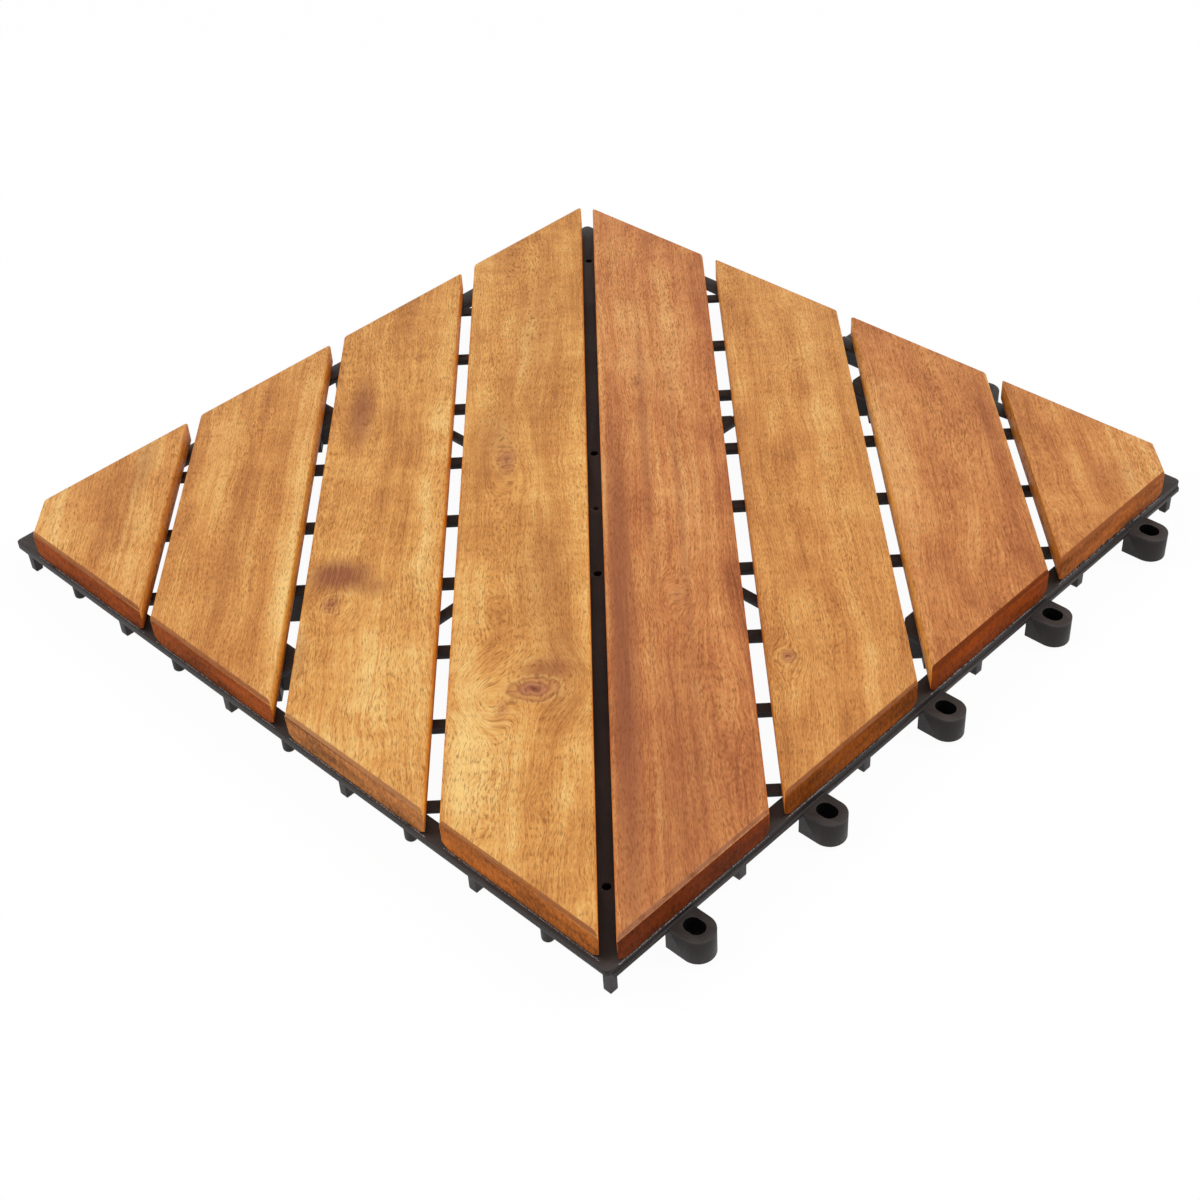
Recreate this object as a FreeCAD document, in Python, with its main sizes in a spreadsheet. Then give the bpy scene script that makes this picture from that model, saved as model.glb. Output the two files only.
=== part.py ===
"""Interlocking deck tile: eight hardwood slats screwed to a moulded plastic base grid.

Frame: millimetres, +Z up, origin on the ground under the centre of the square tile, X and Y
along the tile's sides. The loops are on the sides at -Y and +X, the pins at -X and +Y, so that
tiles laid side by side lock together. The slats run along the diagonal from (-X, -Y) to
(+X, +Y). Slats and base are drawn in the slat frame: X along the slats, Y across them, which
is the tile's frame turned by 45 degrees.
"""
import FreeCAD
import Part
import Sketcher
import math
import os

Vector = FreeCAD.Vector
Z_AXIS = Vector(0, 0, 1)

# Driving dimensions, in millimetres (angles in degrees)
SIZES = [
    # whole tile
    ("tile_size", 300.0),
    ("base_height", 13.6),
    ("corner_radius", 2.0),
    # slats, numbered 1 to 8 across the tile
    ("slat_width", 46.0),
    ("slat_thickness", 10.4),
    ("slat_spacing", 5.2),
    ("slat_front_inset", 1.0),
    ("slat_back_inset", 0.5),
    ("slat_front_bevel", 1.1),
    ("slat_bottom_bevel", 2.0),
    ("shift_of_slat_4", 1.0),
    ("shift_of_slat_5", -0.8),
    ("drift_of_slat_1", 0.8),
    # rim
    ("rim_width", 7.5),
    ("rim_thickness", 2.4),
    ("ledge", 0.55),
    ("lip_width", 2.5),
    ("lip_height", 1.4),
    ("gate_notch_radius", 1.5),
    ("gate_notch_place", 5.5),
    # lattice under the slats
    ("bar_pitch", 36.0),
    ("bar_width", 4.3),
    ("bar_depth", 2.4),
    ("outer_bar_depth", 1.4),
    ("rib_width", 3.0),
    ("centre_rib_width", 6.0),
    ("median_width", 3.0),
    ("hub_radius", 4.0),
    ("hub_hole_radius", 1.0),
    ("hub_hole_depth", 3.0),
    ("hub_hole_offset", 1.6),
    ("vent_radius", 1.5),
    # feet
    ("foot_pad_radius", 8.4),
    ("foot_wall", 4.3),
    ("foot_length", 15.0),
    ("outer_foot_place", 109.7),
    ("side_wall_length", 9.0),
    ("leg_width", 3.2),
    ("leg_inset", 2.8),
    ("corner_leg_width", 2.9),
    ("corner_leg_inset", 2.2),
    # loops and pins
    ("joint_pitch", 60.0),
    ("joint_inset", 4.9),
    ("loop_width", 11.2),
    ("loop_wall", 3.1),
    ("loop_depth", 9.3),
    ("hole_width", 5.7),
    ("hole_length", 7.2),
    ("pin_radius", 2.15),
    ("pin_ground_gap", 0.6),
    # screws
    ("boss_width", 9.0),
    ("boss_depth", 8.0),
    ("screw_radius", 1.75),
    ("screw_clearance", 0.35),
    ("screw_bite", 7.0),
    ("head_radius", 3.6),
    ("head_height", 1.9),
]

SLAT_COUNT = 8
LOOPS_PER_SIDE = 5
WIDE_BARS_EACH_WAY = 3
# Bar that carries the screws of each pair of rows, from the centre outwards
SCREW_BARS = [4, 3, 1]
# Sides of the outlines that stand for small circles, to keep the facets few
ROUND_SIDES = 12
SHANK_SIDES = 8

doc = FreeCAD.newDocument("deck_tile")
dims = doc.addObject("Spreadsheet::Sheet", "dims")
for row, (alias, value) in enumerate(SIZES, start=1):
    dims.set(f"A{row}", alias)
    dims.set(f"B{row}", str(value))
    dims.setAlias(f"B{row}", alias)
doc.recompute()


def number(expression):
    """Value of an expression on the sheet, in millimetres."""
    value = dims.evalExpression(expression)
    return float(getattr(value, "Value", value))


# Bodies and their sketches

def new_body(label, height="0", turn=45.0):
    body = doc.addObject("PartDesign::Body", label)
    body.Label = label
    body.Placement = FreeCAD.Placement(Vector(0, 0, 0), FreeCAD.Rotation(Z_AXIS, turn))
    body.setExpression("Placement.Base.z", height)
    return body


def plane_of(body, role):
    return next(item for item in body.Origin.OriginFeatures if item.Role == role)


class Drawing:
    """Sketch at a height above the ground, along the slats or along the tile's sides.

    Its outlines and their dimensions are gathered first and then added together.
    """

    def __init__(self, body, name, height="0", along_tile=False):
        self.sketch = body.newObject("Sketcher::SketchObject", name)
        self.sketch.AttachmentSupport = [(plane_of(body, "XY_Plane"), "")]
        self.sketch.MapMode = "FlatFace"
        turn = FreeCAD.Rotation(Z_AXIS, -45.0 if along_tile else 0.0)
        self.sketch.AttachmentOffset = FreeCAD.Placement(Vector(0, 0, 0), turn)
        self.sketch.setExpression("AttachmentOffset.Base.z", height)
        self.geometry = []
        self.constraints = []
        self.sizes = []

    def add(self, *curves):
        """Add curves and return the index of each."""
        first = len(self.geometry)
        self.geometry.extend(curves)
        return list(range(first, len(self.geometry)))

    def relate(self, kind, *where):
        self.constraints.append(Sketcher.Constraint(kind, *where))

    def size(self, kind, *where, value):
        """Dimension tied to an expression."""
        self.sizes.append((len(self.constraints), value))
        self.constraints.append(Sketcher.Constraint(kind, *where, number(value)))

    def place(self, curve, end, x, y):
        self.size("DistanceX", -1, 1, curve, end, value=x)
        self.size("DistanceY", -1, 1, curve, end, value=y)

    def polygon(self, corners):
        """Closed outline through corners, each given by two expressions."""
        points = [Vector(number(x), number(y), 0) for x, y in corners]
        lines = self.add(*[Part.LineSegment(a, b)
                           for a, b in zip(points, points[1:] + points[:1])])
        for line, after in zip(lines, lines[1:] + lines[:1]):
            self.relate("Coincident", line, 2, after, 1)
        for line, (x, y) in zip(lines, corners):
            self.place(line, 1, x, y)

    def rectangle(self, left, right, low, high):
        self.polygon([(left, low), (right, low), (right, high), (left, high)])

    def block(self, x, y, length, width):
        """Rectangle round a centre."""
        self.rectangle(f"{x} - {length} / 2", f"{x} + {length} / 2",
                       f"{y} - {width} / 2", f"{y} + {width} / 2")

    def circle(self, x, y, radius):
        centre = Vector(number(x), number(y), 0)
        curve, = self.add(Part.Circle(centre, Z_AXIS, number(radius)))
        self.size("Radius", curve, value=radius)
        self.place(curve, 3, x, y)

    def small_round(self, x, y, radius, sides=ROUND_SIDES):
        """Small circle drawn with a few sides, whose corners lie on the radius."""
        angles = [f"{step * 360 / sides}" for step in range(sides)]
        self.polygon([(f"{x} + {radius} * cos({angle})", f"{y} + {radius} * sin({angle})")
                      for angle in angles])

    def tongue(self, x, tip, root, radius):
        """Outline from a straight root to a half-round tip, whose centre is at tip, below."""
        mid, r = number(x), number(radius)
        y_tip, y_root = number(tip), number(root)
        lower = Part.Circle(Vector(mid, y_tip, 0), Z_AXIS, r)
        end, right, back, left = self.add(
            Part.ArcOfCircle(lower, math.pi, 2 * math.pi),
            Part.LineSegment(Vector(mid + r, y_tip, 0), Vector(mid + r, y_root, 0)),
            Part.LineSegment(Vector(mid + r, y_root, 0), Vector(mid - r, y_root, 0)),
            Part.LineSegment(Vector(mid - r, y_root, 0), Vector(mid - r, y_tip, 0)))
        for first, second in ((end, right), (left, end)):
            self.relate("Tangent", first, 2, second, 1)
        for first, second in ((right, back), (back, left)):
            self.relate("Coincident", first, 2, second, 1)
        self.relate("Vertical", right)
        self.relate("Horizontal", back)
        self.size("Radius", end, value=radius)
        self.place(end, 3, x, tip)
        self.size("DistanceY", -1, 1, back, 1, value=root)

    def obround(self, x, low, high, radius):
        """Slot outline with its long axis along Y and its end centres at low and high."""
        mid, r = number(x), number(radius)
        y_low, y_high = number(low), number(high)
        lower = Part.Circle(Vector(mid, y_low, 0), Z_AXIS, r)
        upper = Part.Circle(Vector(mid, y_high, 0), Z_AXIS, r)
        bottom, right, top, left = self.add(
            Part.ArcOfCircle(lower, math.pi, 2 * math.pi),
            Part.LineSegment(Vector(mid + r, y_low, 0), Vector(mid + r, y_high, 0)),
            Part.ArcOfCircle(upper, 0, math.pi),
            Part.LineSegment(Vector(mid - r, y_high, 0), Vector(mid - r, y_low, 0)))
        for first, second in ((bottom, right), (right, top), (top, left), (left, bottom)):
            self.relate("Tangent", first, 2, second, 1)
        self.relate("Vertical", right)
        self.size("Radius", bottom, value=radius)
        self.place(bottom, 3, x, low)
        self.size("DistanceY", -1, 1, top, 3, value=high)

    def done(self):
        self.sketch.addGeometry(self.geometry, False)
        self.sketch.addConstraint(self.constraints)
        for index, expression in self.sizes:
            name = f"size_{index}"
            self.sketch.renameConstraint(index, name)
            self.sketch.setExpression(f"Constraints.{name}", expression)
        return self.sketch


# Features

def finish(body, feature):
    """Make the feature the body's tip and check that it built."""
    body.Tip = feature
    doc.recompute()
    if feature.Shape.isNull() or not feature.Shape.isValid():
        raise RuntimeError(f"{feature.Name} did not build")
    return feature


def pad(body, drawing, length, down=False):
    sketch = drawing.done()
    feature = body.newObject("PartDesign::Pad", f"{sketch.Name}_pad")
    feature.Profile = sketch
    feature.Reversed = down
    feature.setExpression("Length", length)
    return finish(body, feature)


def pocket(body, drawing, length, up=False):
    """Cut down from the sketch, or up from it, and make sure that it cut something."""
    before = body.Tip.Shape.Volume
    sketch = drawing.done()
    feature = body.newObject("PartDesign::Pocket", f"{sketch.Name}_pocket")
    feature.Profile = sketch
    feature.Reversed = up
    feature.setExpression("Length", length)
    finish(body, feature)
    if feature.Shape.Volume > before - 1e-3:
        raise RuntimeError(f"{feature.Name} cuts nothing")
    return feature


def repeat(body, originals, name, mirrors=(), row=None):
    """Copy features along a row, then mirror them in the body's own planes."""
    feature = body.newObject("PartDesign::MultiTransform", name)
    feature.Originals = originals
    steps = []
    if row:
        drawing, axis, length, count = row
        line = body.newObject("PartDesign::LinearPattern", f"{name}_row")
        line.Direction = (drawing.sketch, [axis])
        line.setExpression("Length", length)
        line.Occurrences = count
        steps.append(line)
    for role in mirrors:
        mirror = body.newObject("PartDesign::Mirrored", f"{name}_{role}")
        mirror.MirrorPlane = (plane_of(body, role), [""])
        steps.append(mirror)
    feature.Transformations = steps
    return finish(body, feature)


def dress(body, kind, name, size, chosen):
    """Fillet or chamfer the edges of the tip that the test picks."""
    base = body.Tip
    names = [f"Edge{i}" for i, edge in enumerate(base.Shape.Edges, start=1) if chosen(edge)]
    if not names:
        raise RuntimeError(f"{name} finds no edges")
    feature = body.newObject(f"PartDesign::{kind}", name)
    feature.Base = (base, names)
    feature.setExpression("Radius" if kind == "Fillet" else "Size", size)
    return finish(body, feature)


def is_upright(edge):
    low, high = edge.BoundBox.ZMin, edge.BoundBox.ZMax
    return high - low > 0.99 * edge.Length > 0


def is_level_at(edge, height):
    return abs(edge.BoundBox.ZMin - height) < 1e-4 and abs(edge.BoundBox.ZMax - height) < 1e-4


# Places that several pieces share, as expressions on the sheet

HALF = "dims.tile_size / 2"
ROW_PITCH = "(dims.slat_width + dims.slat_spacing)"
LOOP_TOP = "dims.base_height - dims.rim_thickness"
BOSS_FOOT = "(dims.base_height - dims.boss_depth)"


def row_centre(slat):
    """Distance of a slat's middle line from the centre, positive towards slat 1."""
    return f"({SLAT_COUNT / 2 + 0.5 - slat} * {ROW_PITCH})"


def screw_places():
    """Places of the screws in one quarter of the slat frame, as pairs of expressions."""
    places = [(f"({bar} * dims.bar_pitch)", row_centre(SLAT_COUNT / 2 + 1 - row))
              for row, bar in enumerate(SCREW_BARS, start=1)]
    outer = row_centre(1)
    places += [("0", f"({outer} - {ROW_PITCH} / 4)"), ("0", f"({outer} + {ROW_PITCH} / 4)")]
    return places


def foot_places():
    """Places of the feet in one quarter of the slat frame, those with a round pad first."""
    inner, outer = row_centre(4), row_centre(3)
    return [("2 * dims.bar_pitch", "dims.outer_foot_place"),
            ("dims.bar_pitch", outer),
            ("3 * dims.bar_pitch", inner),
            ("dims.bar_pitch", inner)]


# Base grid, one moulding: rim, bored lattice, feet and bosses are fused

def build_rim():
    """Flat band round the tile, set back by the ledge above the lip on the loop sides."""
    body = new_body("rim")
    back = f"({HALF} - dims.ledge)"
    inner = f"({HALF} - dims.rim_width)"
    band = Drawing(body, "band", "dims.base_height", along_tile=True)
    band.rectangle(f"-{HALF}", back, f"-{back}", HALF)
    band.rectangle(f"-{inner}", inner, f"-{inner}", inner)
    pad(body, band, "dims.rim_thickness", down=True)
    reach = number(HALF)
    dress(body, "Fillet", "band_corners", "dims.corner_radius",
          lambda edge: is_upright(edge) and edge.CenterOfMass.Length > reach * 1.39)
    lip = Drawing(body, "lip", LOOP_TOP, along_tile=True)
    inside = f"({HALF} - dims.lip_width)"
    start = f"({HALF} - dims.corner_radius)"
    lip.polygon([(f"-{start}", f"-{HALF}"), (start, f"-{HALF}"), (HALF, f"-{start}"),
                 (HALF, start), (inside, start), (inside, f"-{inside}"),
                 (f"-{start}", f"-{inside}")])
    pad(body, lip, "dims.lip_height", down=True)
    build_legs(body)
    build_joints(body)
    notch = Drawing(body, "gate_notch", "dims.base_height", along_tile=True)
    notch.small_round(back, "dims.gate_notch_place", "dims.gate_notch_radius")
    pocket(body, notch, "dims.rim_thickness / 2")
    return body


def build_legs(body):
    """Short legs along the rim, between the joints, and one in each corner."""
    legs = Drawing(body, "legs", along_tile=True)
    line = f"({HALF} - dims.leg_inset - dims.leg_width / 2)"
    for step in range(LOOPS_PER_SIDE - 1):
        place = f"({step - LOOPS_PER_SIDE / 2 + 1} * dims.joint_pitch)"
        legs.block(place, f"-{line}", "dims.leg_width", "dims.leg_width")
        legs.block(f"-{line}", place, "dims.leg_width", "dims.leg_width")
    corner = f"({HALF} - dims.corner_leg_inset - dims.corner_leg_width / 2)"
    for x, y in ((f"-{corner}", f"-{corner}"), (corner, f"-{corner}"), (f"-{corner}", corner)):
        legs.block(x, y, "dims.corner_leg_width", "dims.corner_leg_width")
    made = pad(body, legs, f"{LOOP_TOP} + dims.rim_thickness / 2")
    repeat(body, [made], "all_legs", mirrors=["YZ_Plane"])


def build_joints(body):
    """Loops that stand out below the rim on two sides, and pins under it on the other two."""
    first = f"(-{(LOOPS_PER_SIDE - 1) / 2} * dims.joint_pitch)"
    travel = f"{LOOPS_PER_SIDE - 1} * dims.joint_pitch"
    hole_half = "(dims.hole_length / 2 - dims.hole_width / 2)"
    hole_centre = f"({HALF} + dims.joint_inset)"
    tip = f"({hole_centre} + dims.hole_length / 2 + dims.loop_wall - dims.loop_width / 2)"
    loop = Drawing(body, "loop", LOOP_TOP, along_tile=True)
    loop.tongue(first, f"-{tip}", f"-({HALF} - dims.rim_width)", "dims.loop_width / 2")
    lug = pad(body, loop, "dims.loop_depth", down=True)
    hole = Drawing(body, "loop_hole", LOOP_TOP, along_tile=True)
    hole.obround(first, f"-{hole_centre} - {hole_half}", f"-{hole_centre} + {hole_half}",
                 "dims.hole_width / 2")
    cut = pocket(body, hole, "dims.loop_depth")
    repeat(body, [lug, cut], "loops", mirrors=["YZ_Plane"],
           row=(loop, "H_Axis", travel, LOOPS_PER_SIDE))

    pin = Drawing(body, "pin", "dims.pin_ground_gap", along_tile=True)
    pin.circle(f"-({HALF} - dims.joint_inset)", first, "dims.pin_radius")
    post = pad(body, pin, f"{LOOP_TOP} + dims.rim_thickness / 2 - dims.pin_ground_gap")
    repeat(body, [post], "pins", mirrors=["YZ_Plane"],
           row=(pin, "V_Axis", travel, LOOPS_PER_SIDE))


def build_lattice():
    """Bars across the slats, ribs along them, the centre rib and the two medians."""
    body = new_body("lattice")
    top = "dims.base_height"
    reach = f"{HALF} * sqrt(2)"
    bar = Drawing(body, "bar", top)
    bar.block(f"-{WIDE_BARS_EACH_WAY} * dims.bar_pitch", "0", "dims.bar_width", f"2 * {reach}")
    one = pad(body, bar, "dims.bar_depth", down=True)
    repeat(body, [one], "bars", row=(bar, "H_Axis", f"{2 * WIDE_BARS_EACH_WAY} * dims.bar_pitch",
                                     2 * WIDE_BARS_EACH_WAY + 1))
    outer_bars = Drawing(body, "outer_bars", top)
    last = int(number(reach) / number("dims.bar_pitch"))
    for step in range(WIDE_BARS_EACH_WAY + 1, last + 1):
        outer_bars.block(f"{step} * dims.bar_pitch", "0", "dims.bar_width", f"2 * {reach}")
    shallow = pad(body, outer_bars, "dims.outer_bar_depth", down=True)
    repeat(body, [shallow], "all_outer_bars", mirrors=["YZ_Plane"])

    ribs = new_body("ribs")
    rib = Drawing(ribs, "rib", top)
    rib.block("0", row_centre(SLAT_COUNT), f"2 * {reach}", "dims.rib_width")
    one = pad(ribs, rib, "dims.bar_depth", down=True)
    repeat(ribs, [one], "all_ribs", row=(rib, "V_Axis", f"{SLAT_COUNT - 1} * {ROW_PITCH}",
                                         SLAT_COUNT))

    spine = new_body("spine")
    centre_rib = Drawing(spine, "centre_rib", top)
    centre_rib.block("0", "0", f"2 * {reach}", "dims.centre_rib_width")
    pad(spine, centre_rib, "dims.bar_depth", down=True)
    median = Drawing(spine, "median", top, along_tile=True)
    median.block("0", "0", "dims.tile_size", "dims.median_width")
    arm = pad(spine, median, "dims.bar_depth", down=True)
    repeat(spine, [arm], "medians", mirrors=["YZ_Plane"])
    gusset = Drawing(spine, "gusset", top)
    gusset.block("1.5 * dims.bar_pitch", f"-{ROW_PITCH}", "dims.bar_width", "dims.bar_width")
    pad(spine, gusset, "dims.bar_depth", down=True)
    return [body, ribs, spine]


def build_feet():
    """Crosses of walls that stand on the ground, the outer ones under a round pad."""
    body = new_body("feet")
    pads = Drawing(body, "foot_pads", "dims.base_height")
    pads.small_round(*foot_places()[0], "dims.foot_pad_radius")
    discs = pad(body, pads, "dims.bar_depth", down=True)
    across = Drawing(body, "foot_across")
    along = Drawing(body, "foot_along")
    for x, y in foot_places():
        across.block(x, y, "dims.foot_wall", "dims.foot_length")
        along.block(x, y, "dims.foot_length", "dims.foot_wall")
    height = "dims.base_height - dims.bar_depth / 2"
    walls = [pad(body, across, height), pad(body, along, height)]
    repeat(body, [discs] + walls, "all_feet", mirrors=["YZ_Plane", "XZ_Plane"])

    hub = Drawing(body, "hub")
    hub.small_round("0", "0", "dims.hub_radius")
    pad(body, hub, "dims.base_height")
    side_wall = Drawing(body, "side_wall")
    side_wall.block("-dims.bar_pitch", f"2 * {ROW_PITCH} + dims.slat_spacing / 2",
                    "dims.bar_width", "dims.side_wall_length")
    pad(body, side_wall, height)
    return body


def build_bosses():
    """Bosses under the slats, with the level face of each boss towards the slat."""
    body = new_body("bosses")
    drawing = Drawing(body, "boss", "dims.base_height")
    for x, y in screw_places():
        drawing.block(x, y, "dims.boss_width", "dims.boss_width")
    posts = pad(body, drawing, "dims.boss_depth", down=True)
    repeat(body, [posts], "all_bosses", mirrors=["YZ_Plane", "XZ_Plane"])
    return body


def build_drills():
    """What is drilled: screw holes, vents in the centre rib and the hole in the hub."""
    body = new_body("drills")
    holes = Drawing(body, "boss_hole", "dims.base_height")
    pilots = Drawing(body, "pilot", "dims.base_height")
    for x, y in screw_places():
        holes.small_round(x, y, "(dims.screw_radius + dims.screw_clearance)", SHANK_SIDES)
        pilots.small_round(x, y, "dims.screw_radius", SHANK_SIDES)
    drilled = [pad(body, holes, "dims.boss_depth", down=True),
               pad(body, pilots, "dims.screw_bite")]
    repeat(body, drilled, "all_screw_holes", mirrors=["YZ_Plane", "XZ_Plane"])
    vents = Drawing(body, "vents", "dims.base_height")
    for step in (-5, -1, 1, 5):
        vents.small_round(f"{step} * dims.bar_pitch", "0", "dims.vent_radius")
    pad(body, vents, "dims.bar_depth", down=True)
    eye = Drawing(body, "hub_hole", "dims.base_height")
    eye.small_round("dims.hub_hole_offset", "0", "dims.hub_hole_radius")
    pad(body, eye, "dims.hub_hole_depth", down=True)
    return body


def combine(kind, name, pieces, refine=False):
    """Boolean of whole bodies."""
    result = doc.addObject(f"Part::{kind}", name)
    result.Label = name
    if kind == "MultiFuse":
        result.Shapes = pieces
    else:
        result.Base, result.Tool = pieces
    result.Refine = refine
    doc.recompute()
    return result


def build_base(drills):
    """Lattice members run out past the rim and are cut off in the middle of its width."""
    inside = doc.addObject("Part::Box", "inside_of_rim")
    size = "dims.tile_size - dims.rim_width"
    inside.setExpression("Length", size)
    inside.setExpression("Width", size)
    inside.setExpression("Height", "dims.base_height")
    inside.setExpression("Placement.Base.x", f"-({size}) / 2")
    inside.setExpression("Placement.Base.y", f"-({size}) / 2")
    members = [combine("Common", f"{body.Label}_inside", (body, inside))
               for body in build_lattice()]
    bored = [combine("Cut", f"{body.Label}_bored", (body, drills))
             for body in members + [build_feet(), build_bosses()]]
    return combine("MultiFuse", "base_grid", [build_rim()] + bored, refine=True)


# Slats

def build_slat(slat, drills):
    """Plank with both ends cut along the tile's sides, bevelled in front, drilled from below."""
    plank = new_body(f"plank_{slat}", "dims.base_height")
    alias = f"shift_of_slat_{slat}"
    shift = f"dims.{alias}" if alias in dict(SIZES) else "0"
    alias = f"drift_of_slat_{slat}"
    drift = f"dims.{alias}" if alias in dict(SIZES) else "0"
    middle = f"({row_centre(slat)} - {drift})"
    low = f"({middle} - dims.slat_width / 2)"
    high = f"({middle} + dims.slat_width / 2)"
    front = f"({HALF} - dims.slat_front_inset) * sqrt(2)"
    back = f"({HALF} - dims.slat_back_inset) * sqrt(2)"
    plan = Drawing(plank, f"plan_{slat}")
    plan.polygon([(f"{shift} - ({front} - abs({low}))", low),
                  (f"{shift} + ({back} - abs({low}))", low),
                  (f"{shift} + ({back} - abs({high}))", high),
                  (f"{shift} - ({front} - abs({high}))", high)])
    pad(plank, plan, "dims.slat_thickness")
    thickness = number("dims.slat_thickness")
    dress(plank, "Chamfer", f"bottom_{slat}", "dims.slat_bottom_bevel",
          lambda edge: is_level_at(edge, 0) and edge.BoundBox.YLength < 1e-6)
    dress(plank, "Chamfer", f"front_{slat}", "dims.slat_front_bevel",
          lambda edge: (is_level_at(edge, thickness) and edge.BoundBox.YLength > 1
                        and edge.CenterOfMass.x < 0))
    return combine("Cut", f"slat_{slat}", (plank, drills))


# Screws

def build_screws():
    """All screws, each driven up through its boss into the slat above."""
    body = new_body("slat_screws")
    heads = Drawing(body, "screw_head", BOSS_FOOT)
    shanks = Drawing(body, "screw_shank", BOSS_FOOT)
    for x, y in screw_places():
        heads.small_round(x, y, "dims.head_radius")
        shanks.small_round(x, y, "dims.screw_radius", SHANK_SIDES)
    made = [pad(body, heads, "dims.head_height", down=True),
            pad(body, shanks, f"dims.base_height + dims.screw_bite - {BOSS_FOOT}")]
    repeat(body, made, "all_screws", mirrors=["YZ_Plane", "XZ_Plane"])
    return body


# Build, check and write

drills = build_drills()
pieces = [build_base(drills)]
pieces += [build_slat(slat, drills) for slat in range(1, SLAT_COUNT + 1)]
pieces.append(build_screws())
doc.recompute()

for item in doc.Objects:
    if "Invalid" in item.State or "Error" in item.State:
        raise RuntimeError(f"{item.Label} failed: {item.State}")
for piece in pieces:
    if piece.Shape.isNull() or not piece.Shape.isValid():
        raise RuntimeError(f"{piece.Label} has no valid shape")

os.makedirs("parts", exist_ok=True)
for piece in pieces:
    piece.Shape.exportStep(f"parts/{piece.Label}.step")
    box = piece.Shape.BoundBox
    print(f"{piece.Label}: {len(piece.Shape.Solids)} solids, {piece.Shape.Volume:.0f} mm3, "
          f"x {box.XMin:.1f} to {box.XMax:.1f}, y {box.YMin:.1f} to {box.YMax:.1f}, "
          f"z {box.ZMin:.1f} to {box.ZMax:.1f}")
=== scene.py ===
"""Interlocking deck tile: oiled acacia slats screwed to a moulded polypropylene grid.

Everything is in metres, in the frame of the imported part: +Z up, the ground at zero, X and Y
along the tile's sides. The slat frame is that frame turned by 45 degrees: its first axis runs
along the slats, its second across them. Sizes written in millimetres have mm in their name.
"""

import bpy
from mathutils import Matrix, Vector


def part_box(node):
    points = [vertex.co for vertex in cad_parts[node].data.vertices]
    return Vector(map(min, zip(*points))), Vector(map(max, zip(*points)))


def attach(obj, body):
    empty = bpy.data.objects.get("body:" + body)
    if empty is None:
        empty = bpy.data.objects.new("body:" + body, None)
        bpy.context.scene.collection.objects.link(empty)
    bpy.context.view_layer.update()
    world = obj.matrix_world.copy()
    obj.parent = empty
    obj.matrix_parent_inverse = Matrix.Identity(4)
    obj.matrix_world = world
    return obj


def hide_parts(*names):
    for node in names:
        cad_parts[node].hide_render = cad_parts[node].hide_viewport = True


bl_info = {
    "name": "Deck tile",
    "version": (1, 0, 0),
    "blender": (4, 5, 0),
    "location": "View3D > Sidebar > Deck tile",
    "description": "Gives the deck tile its wood, plastic, screws and studio",
    "category": "Object",
}

import math
import random

import bmesh
import bpy
from mathutils import Vector

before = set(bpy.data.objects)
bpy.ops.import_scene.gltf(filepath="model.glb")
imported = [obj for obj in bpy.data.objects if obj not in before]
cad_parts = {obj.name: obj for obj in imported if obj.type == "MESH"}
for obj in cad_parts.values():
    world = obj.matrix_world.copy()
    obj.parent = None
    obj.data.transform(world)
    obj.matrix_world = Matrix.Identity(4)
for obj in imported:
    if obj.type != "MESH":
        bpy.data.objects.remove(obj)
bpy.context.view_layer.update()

MM = 0.001
TURN = math.radians(45)
ALONG = Vector((math.cos(TURN), math.sin(TURN), 0))
ACROSS = Vector((-math.sin(TURN), math.cos(TURN), 0))
SLATS = sorted(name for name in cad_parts
               if name.startswith("slat_") and name[5:].isdigit())
DECK_LEVEL = max(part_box(name)[1].z for name in SLATS)
GRID_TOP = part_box(SLATS[0])[0].z
TILE_HALF = -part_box("base_grid")[0].x

# The moulding's own sizes, in millimetres
RIM_MM = 7.5
LIP_MM = 2.5
TOE_MM = 0.7
BAR_PITCH_MM = 36.0
# Its loops: how far apart, how wide and high, and how far inside the tile's side they start
PITCH_MM = 60.0
LOOP_MM = 11.2
LOOP_TOP_MM = 11.2
LOOP_ROOT_MM = 1.5
# The loops' holes, whose walls get painted shade: how far outside the tile's side, and half sizes
# that take in their walls
HOLE_OUT_MM = 4.9
HOLE_REACH_MM = 3.65
HOLE_ASIDE_MM = 2.9
# The vents in its centre rib: width, depth and thickness of the dark floor of painted shade set
# into each, and their places counted in bars
VENT_MM = 3.0
VENT_DEEP_MM = 2.0
VENT_SHADE_FLOOR_MM = 0.8
VENT_BARS = (-5, -1, 1, 5)

# Points of a mesh that lie closer together than this are one
WELD = 0.001 * MM


# Colours and nodes

def linear(hex_colour):
    """Linear RGBA of an sRGB colour written as hex."""
    shares = [int(hex_colour[i:i + 2], 16) / 255 for i in (1, 3, 5)]
    return [s / 12.92 if s <= 0.04045 else ((s + 0.055) / 1.055) ** 2.4 for s in shares] + [1.0]


def node(tree, kind, inputs=None, **settings):
    """Add a node, give it its settings, and set or link its inputs.

    Inputs go by name, or by number where names repeat. A Map Range has its value at 0, the range
    it comes from at 1 and 2, and the range it goes to at 3 and 4. A Mix has its share at 0 and
    its colours at 6 and 7.
    """
    made = tree.nodes.new(kind)
    for name, value in settings.items():
        setattr(made, name, value)
    for name, value in (inputs or {}).items():
        if isinstance(value, bpy.types.NodeSocket):
            tree.links.new(value, made.inputs[name])
        else:
            made.inputs[name].default_value = value
    return made


def new_material(name):
    """Material with a principled shader, and its tree and shader."""
    material = bpy.data.materials.new(name)
    material.use_nodes = True
    tree = material.node_tree
    shader = next(n for n in tree.nodes if n.type == "BSDF_PRINCIPLED")
    return material, tree, shader


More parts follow.
